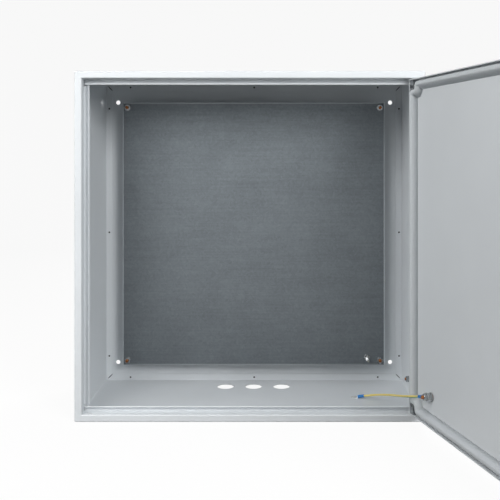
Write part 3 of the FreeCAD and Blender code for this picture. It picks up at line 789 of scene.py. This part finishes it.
def points_mesh(points, edges=()):
    """A mesh of bare points and the edges between them."""
    mesh = bpy.data.meshes.new("points")
    mesh.from_pydata(points, edges, [])
    return mesh


class FinishName(bpy.types.PropertyGroup):
    """The material that a slot of the record is painted with"""

    value: bpy.props.StringProperty(name="Material", description="Name of the slot's material")


class EnclosureSettings(bpy.types.PropertyGroup):
    """Colours and sizes of the enclosure's finish, threads, seal, wire and stage"""

    finish_names: bpy.props.CollectionProperty(
        type=FinishName, name="Finishes", description="Material of each slot"
    )
    coat_colour: bpy.props.FloatVectorProperty(
        name="Coat colour",
        description="Colour of the powder coat",
        default=linear("#d7dbde")[:3],
        **COLOUR,
    )
    seal_colour: bpy.props.FloatVectorProperty(
        name="Seal colour",
        description="Colour of the foam seal",
        default=linear("#d0d4d7")[:3],
        **COLOUR,
    )
    wire_colour: bpy.props.FloatVectorProperty(
        name="Wire colour",
        description="Main colour of the earth wire",
        default=linear("#e0cd78")[:3],
        **COLOUR,
    )
    stripe_colour: bpy.props.FloatVectorProperty(
        name="Stripe colour",
        description="Colour of the earth wire's stripe",
        default=linear("#5f9a55")[:3],
        **COLOUR,
    )
    stripe_share: bpy.props.FloatProperty(
        name="Stripe share",
        description="Share of the wire's girth that the stripe covers",
        subtype="FACTOR",
        min=0,
        max=1,
        default=0.33,
    )
    stripe_twist: bpy.props.FloatProperty(
        name="Stripe twist",
        description="Length of wire in which the stripe turns once",
        unit="LENGTH",
        default=0.8,
    )
    stripe_start: bpy.props.FloatProperty(
        name="Stripe start",
        description="Share of a turn by which the stripe starts past the side of the wire",
        subtype="FACTOR",
        min=0,
        max=1,
        default=0.74,
    )
    wire_diameter: bpy.props.FloatProperty(
        name="Wire diameter", description="Outer diameter of the earth wire", unit="LENGTH", default=0.0038
    )
    thread_radius: bpy.props.FloatProperty(
        name="Thread radius", description="Outer radius of the studs", unit="LENGTH", default=0.003
    )
    thread_pitch: bpy.props.FloatProperty(
        name="Thread pitch", description="Distance between two threads", unit="LENGTH", default=0.001
    )
    thread_depth: bpy.props.FloatProperty(
        name="Thread depth", description="Depth of the thread's groove", unit="LENGTH", default=0.0006
    )
    end_chamfer: bpy.props.FloatProperty(
        name="End chamfer", description="Chamfer on the free end of a stud", unit="LENGTH", default=0.0006
    )
    seal_width: bpy.props.FloatProperty(
        name="Seal width", description="Width of the foam bead at its crown", unit="LENGTH", default=0.0064
    )
    seal_foot: bpy.props.FloatProperty(
        name="Seal foot",
        description="Width of the foam bead where it has run out on the door",
        unit="LENGTH",
        default=0.0145,
    )
    seal_corner: bpy.props.FloatProperty(
        name="Seal corner", description="Radius of the bead's line at a corner", unit="LENGTH", default=0.0055
    )
    seal_crown: bpy.props.FloatProperty(
        name="Seal crown", description="Radius of the bead's edges", unit="LENGTH", default=0.0026
    )
    seal_unevenness: bpy.props.FloatProperty(
        name="Seal unevenness", description="How far the poured bead wanders", unit="LENGTH", default=0.0006
    )
    mitre_shade_radius: bpy.props.FloatProperty(
        name="Mitre shade radius", description="Radius of the bead in a rear mitre", unit="LENGTH", default=0.0009
    )
    nugget_radius: bpy.props.FloatProperty(
        name="Nugget radius", description="Radius of the weld nuggets", unit="LENGTH", default=0.0018
    )
    nugget_height: bpy.props.FloatProperty(
        name="Nugget height",
        description="How far a nugget stands off the plate",
        unit="LENGTH",
        default=0.0008,
    )
    floor_colour: bpy.props.FloatVectorProperty(
        name="Floor colour",
        description="Colour of the floor and backdrop",
        default=linear("#6a6a68")[:3],
        **COLOUR,
    )
    paper_glow: bpy.props.FloatProperty(
        name="Paper glow",
        description="Share of pure white in the floor and backdrop as the camera sees them",
        subtype="FACTOR",
        min=0,
        max=1,
        default=0.92,
    )
    left_power: bpy.props.FloatProperty(
        name="Left light", description="Power of the soft light at the upper left", unit="POWER", default=15.0
    )
    right_power: bpy.props.FloatProperty(
        name="Right light",
        description="Power of the soft light at the upper right",
        unit="POWER",
        default=39.0,
    )
    top_power: bpy.props.FloatProperty(
        name="Top light", description="Power of the soft light above the door", unit="POWER", default=9.5
    )
    side_power: bpy.props.FloatProperty(
        name="Side light", description="Power of the soft light at the left side", unit="POWER", default=10.0
    )
    back_power: bpy.props.FloatProperty(
        name="Back light",
        description="Power of the soft light behind the enclosure",
        unit="POWER",
        default=45.0,
    )
    world_strength: bpy.props.FloatProperty(
        name="Room light", description="Strength of the even light from all sides", default=0.06
    )


class ENCLOSURE_OT_finishes(bpy.types.Operator):
    """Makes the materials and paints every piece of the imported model"""

    bl_idname = "enclosure.finishes"
    bl_label = "Finishes"

    def execute(self, context):
        settings = context.scene.enclosure
        for slot, material in finishes(settings).items():
            entry = settings.finish_names.add()
            entry.name = slot
            entry.value = material.name
        for part in frame["record"]["subparts"]:
            for place in frame["nodes"][part["node"]].material_slots:
                place.material = material_for(part["material_slot"])
        return {"FINISHED"}


class ENCLOSURE_OT_studs(bpy.types.Operator):
    """Cuts real threads on the studs and the earth bolt"""

    bl_idname = "enclosure.studs"
    bl_label = "Threaded studs"

    def execute(self, context):
        settings = context.scene.enclosure
        tree = threaded_tree()
        rods = {
            "Radius": settings.thread_radius,
            "Thread Depth": settings.thread_depth,
            "Pitch": settings.thread_pitch,
            "Chamfer": settings.end_chamfer,
        }
        # Each foot is a low drum: the ring of weld, the bolt's head, or one that the rod hides.
        ring = {
            "Foot Sides": 32,
            "Foot Radius": WELD_RING_RADIUS,
            "Foot Height": WELD_RING_HEIGHT,
            "Foot Offset": WELD_RING_HEIGHT / 2,
        }
        hidden = {**ring, "Foot Sides": 12, "Foot Radius": settings.thread_radius * 0.8}
        head = {
            "Foot Sides": 6,
            "Foot Radius": BOLT_HEAD_RADIUS,
            "Foot Height": BOLT_HEAD_HEIGHT,
            "Foot Offset": -BOLT_HEAD_HEIGHT / 2,
        }
        to_front = (math.pi / 2, 0, 0)
        to_left = (0, -math.pi / 2, 0)
        off_door = (math.pi / 2, 0, math.pi + OPEN_ANGLE)
        door_stud = opened() @ Vector(DOOR_STUD)
        # Piece, the node that it replaces, body, slot, places, length, direction and foot
        rows = (
            ("panel_stud_threads", "panel_studs", "enclosure", "copper_plate",
             PANEL_STUDS, PANEL_STUD_REACH, to_front, hidden),
            ("panel_earth_bolt_thread", "panel_earth_bolt", "enclosure", "bright_zinc",
             [PANEL_BOLT], PANEL_BOLT_REACH, to_front, head),
            ("wall_earth_stud_thread", "wall_earth_stud", "enclosure", "copper_plate",
             [WALL_STUD], WALL_STUD_REACH, to_left, ring),
            ("door_earth_stud_thread", "door_earth_stud", "door", "copper_plate",
             [door_stud], DOOR_STUD_REACH, off_door, ring),
        )
        for name, node, body, slot, places, length, turn, foot in rows:
            values = {**rods, **foot, "Length": length, "Turn": turn, "Material": material_for(slot)}
            piece = run_tree(tree, points_mesh(places), values, name)
            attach(piece, body)
            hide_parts(node)
        return {"FINISHED"}


class ENCLOSURE_OT_seal(bpy.types.Operator):
    """Lays the foam seal round the inside of the door"""

    bl_idname = "enclosure.seal"
    bl_label = "Foam seal"

    def execute(self, context):
        settings = context.scene.enclosure
        upper = [
            (SEAL_SIDE, SEAL_STEP_Z, 0),
            (SEAL_STEP_X, SEAL_STEP_Z, 0),
            (SEAL_STEP_X, SEAL_SIDE, 0),
            (-SEAL_SIDE, SEAL_SIDE, 0),
        ]
        line = upper + [(x, -z, 0) for x, z, _ in reversed(upper)]
        values = {
            "Corner Radius": settings.seal_corner,
            "Top Width": settings.seal_width,
            "Foot Width": settings.seal_foot,
            "Height": SEAL_HEIGHT,
            "Crown": settings.seal_crown,
            "Unevenness": settings.seal_unevenness,
            "Waves Per Metre": SEAL_WAVES_PER_METRE,
            "Piece Length": SEAL_PIECE,
            "Material": material_for("foam_seal"),
        }
        ring = [(i, (i + 1) % len(line)) for i in range(len(line))]
        piece = run_tree(seal_tree(), points_mesh(line, ring), values, "foam_seal")
        middle = DOOR_INNER - settings.seal_unevenness / 2 + SEAL_HEIGHT / 2
        stand = Matrix.Translation((0, middle, 0)) @ Matrix.Rotation(math.pi / 2, 4, "X")
        piece.data.transform(opened() @ stand)
        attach(piece, "door")
        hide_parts("door_seal")
        return {"FINISHED"}


class ENCLOSURE_OT_wire(bpy.types.Operator):
    """Draws the striped earth wire between its two lugs"""

    bl_idname = "enclosure.wire"
    bl_label = "Earth wire"

    def execute(self, context):
        settings = context.scene.enclosure
        path = spline_points(WIRE_ROUTE)
        radius = settings.wire_diameter / 2
        piece = tube("striped_earth_wire", path, radius, WIRE_SIDES, material_for("wire_pvc"))
        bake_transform(piece)
        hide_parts("earth_wire")
        return {"FINISHED"}


class ENCLOSURE_OT_nuggets(bpy.types.Operator):
    """Fills the holes in the rear flanges with the welds that hold the back plate"""

    bl_idname = "enclosure.nuggets"
    bl_label = "Weld nuggets"

    def execute(self, context):
        settings = context.scene.enclosure
        places = []
        for side in (-NUGGET_SIDE, NUGGET_SIDE):
            for along in (-NUGGET_ALONG, 0, NUGGET_ALONG):
                places.append((side, BACK_PLATE_FRONT, along))
                places.append((along, BACK_PLATE_FRONT, side))
        values = {
            "Radius": settings.nugget_radius,
            "Height": settings.nugget_height,
            "Lumpiness": NUGGET_LUMPINESS,
            "Seed": NUGGET_SEED,
            # The nuggets' near-black finish is painted shade of the flange holes.
            "Material": material_for("weld_steel"),
        }
        piece = run_tree(nugget_tree(), points_mesh(places), values, "weld_nuggets")
        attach(piece, "enclosure")
        return {"FINISHED"}


class ENCLOSURE_OT_shaded_mitres(bpy.types.Operator):
    """Paints the shade of the open mitre at each rear corner as a dark bead of sealant"""

    bl_idname = "enclosure.sealant"
    bl_label = "Mitre sealant"

    def execute(self, context):
        settings = context.scene.enclosure
        ends = [
            (across * out, REAR_FLANGE_FRONT, up * out)
            for across in (-1, 1)
            for up in (-1, 1)
            for out in MITRE_SPAN
        ]
        lines = [(i, i + 1) for i in range(0, len(ends), 2)]
        values = {"Radius": settings.mitre_shade_radius, "Material": material_for("sealant")}
        piece = run_tree(bead_tree(), points_mesh(ends, lines), values, "mitre_sealant")
        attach(piece, "enclosure")
        return {"FINISHED"}


class ENCLOSURE_OT_stage(bpy.types.Operator):
    """Adds the floor, the soft lights, the room and the photograph's camera"""

    bl_idname = "enclosure.stage"
    bl_label = "Stage"

    def execute(self, context):
        settings = context.scene.enclosure
        scene = context.scene
        self.add_floor(settings)
        for name, place, target, size in LAMPS:
            self.add_lamp(name + "_light", getattr(settings, name + "_power"), place, target, size)
        self.add_room(scene, settings)
        self.add_camera(scene)
        scene.view_settings.view_transform = "Standard"
        return {"FINISHED"}

    def add_floor(self, settings):
        """A round floor that curves up into a low wall on all sides, so that no view meets an edge."""
        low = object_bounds()[0][2] - FLOOR_GAP
        profile = []
        for i in range(FLOOR_BEND_STEPS + 1):
            angle = math.pi / 2 * i / FLOOR_BEND_STEPS
            out = FLOOR_RADIUS - FLOOR_BEND * (1 - math.sin(angle))
            profile.append((out, low + FLOOR_BEND * (1 - math.cos(angle))))
        profile.append((FLOOR_RADIUS, low + FLOOR_WALL_TOP))
        vertices = [(0, 0, low)]
        for out, up in profile:
            for k in range(FLOOR_SIDES):
                angle = 2 * math.pi * k / FLOOR_SIDES
                vertices.append((out * math.cos(angle), out * math.sin(angle), up))
        faces = [(0, 1 + k, 1 + (k + 1) % FLOOR_SIDES) for k in range(FLOOR_SIDES)]
        for i in range(len(profile) - 1):
            for k in range(FLOOR_SIDES):
                near = 1 + i * FLOOR_SIDES + k
                following = 1 + i * FLOOR_SIDES + (k + 1) % FLOOR_SIDES
                faces.append((near, near + FLOOR_SIDES, following + FLOOR_SIDES, following))
        mesh = bpy.data.meshes.new("studio_floor")
        mesh.from_pydata(vertices, [], faces)
        mesh.materials.append(self.paper(settings))
        for polygon in mesh.polygons:
            polygon.use_smooth = True
        new_object("studio_floor", mesh)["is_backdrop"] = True

    def paper(self, settings):
        """Matt studio paper that looks nearly white and still takes the object's shadow."""
        material, tree, shader = new_material("studio_paper", {"Roughness": 0.9, "Specular IOR Level": 0.1})
        seen = seen_ray(tree)
        tone = add_node(
            tree,
            "ShaderNodeMix",
            {0: seen, 6: opaque(settings.floor_colour), 7: linear("#f2f2f0")},
            data_type="RGBA",
        )
        fill(tree, shader, {"Base Color": tone.outputs[2]})
        white = add_node(tree, "ShaderNodeEmission", {"Color": linear("#ffffff"), "Strength": 1.0})
        share = add_node(tree, "ShaderNodeMapRange", {"Value": seen, "To Max": settings.paper_glow})
        mixed = add_node(
            tree, "ShaderNodeMixShader", {0: share.outputs[0], 1: shader.outputs[0], 2: white.outputs[0]}
        )
        fill(tree, tree.nodes["Material Output"], {"Surface": mixed.outputs[0]})
        return material

    def add_lamp(self, name, power, place, target, size):
        """A rectangular soft light that looks at a point."""
        data = bpy.data.lights.new(name, "AREA")
        data.shape = "RECTANGLE"
        data.size, data.size_y = size
        data.energy = power
        lamp = new_object(name, data)
        lamp.location = place
        lamp.rotation_euler = (Vector(target) - Vector(place)).to_track_quat("-Z", "Y").to_euler()

    def add_room(self, scene, settings):
        """An even dim light from all sides, in front of which the camera and the metal see white."""
        world = bpy.data.worlds.new("room")
        scene.world = world
        world.use_nodes = True
        tree = world.node_tree
        tree.nodes.clear()
        strength = add_node(
            tree,
            "ShaderNodeMapRange",
            {"Value": seen_ray(tree), "To Min": settings.world_strength, "To Max": 1.0},
        )
        room = add_node(
            tree, "ShaderNodeBackground", {"Color": linear("#ffffff"), "Strength": strength.outputs[0]}
        )
        add_node(tree, "ShaderNodeOutputWorld", {"Surface": room.outputs[0]})

    def add_camera(self, scene):
        """The photograph's camera: level, and shifted to its frame."""
        data = bpy.data.cameras.new("photo_camera")
        data.sensor_width = SENSOR_WIDTH
        data.lens = FOCAL_LENGTH_PIXELS / PHOTO_SIZE * SENSOR_WIDTH
        data.shift_x = (PHOTO_SIZE / 2 - VIEW_CENTRE_PIXELS[0]) / PHOTO_SIZE
        data.shift_y = (VIEW_CENTRE_PIXELS[1] - PHOTO_SIZE / 2) / PHOTO_SIZE
        camera = new_object("photo_camera", data)
        camera.location = CAMERA_PLACE
        camera.rotation_euler = (math.pi / 2, 0, 0)
        scene.camera = camera


class ENCLOSURE_PT_panel(bpy.types.Panel):
    """Lists the enclosure's settings and the steps that dress it"""

    bl_idname = "ENCLOSURE_PT_panel"
    bl_label = "Wall enclosure"
    bl_space_type = "VIEW_3D"
    bl_region_type = "UI"
    bl_category = "Enclosure"

    def draw(self, context):
        settings = context.scene.enclosure
        for name in settings.bl_rna.properties.keys():
            if name not in ("rna_type", "name", "finish_names"):
                self.layout.prop(settings, name)
        for step in STEPS:
            self.layout.operator(step.bl_idname)


STEPS = (
    ENCLOSURE_OT_stage,
    ENCLOSURE_OT_finishes,
    ENCLOSURE_OT_wire,
    ENCLOSURE_OT_seal,
    ENCLOSURE_OT_studs,
    ENCLOSURE_OT_nuggets,
    ENCLOSURE_OT_shaded_mitres,
)
CLASSES = (FinishName, EnclosureSettings, *STEPS, ENCLOSURE_PT_panel)


def register():
    for kind in CLASSES:
        bpy.utils.register_class(kind)
    bpy.types.Scene.enclosure = bpy.props.PointerProperty(type=EnclosureSettings)


def unregister():
    del bpy.types.Scene.enclosure
    for kind in reversed(CLASSES):
        bpy.utils.unregister_class(kind)


def main():
    register()
    bpy.ops.enclosure.stage()
    bpy.ops.enclosure.finishes()
    bpy.ops.enclosure.wire()
    bpy.ops.enclosure.seal()
    bpy.ops.enclosure.studs()
    bpy.ops.enclosure.nuggets()
    bpy.ops.enclosure.sealant()


if __name__ == "__main__":
    main()
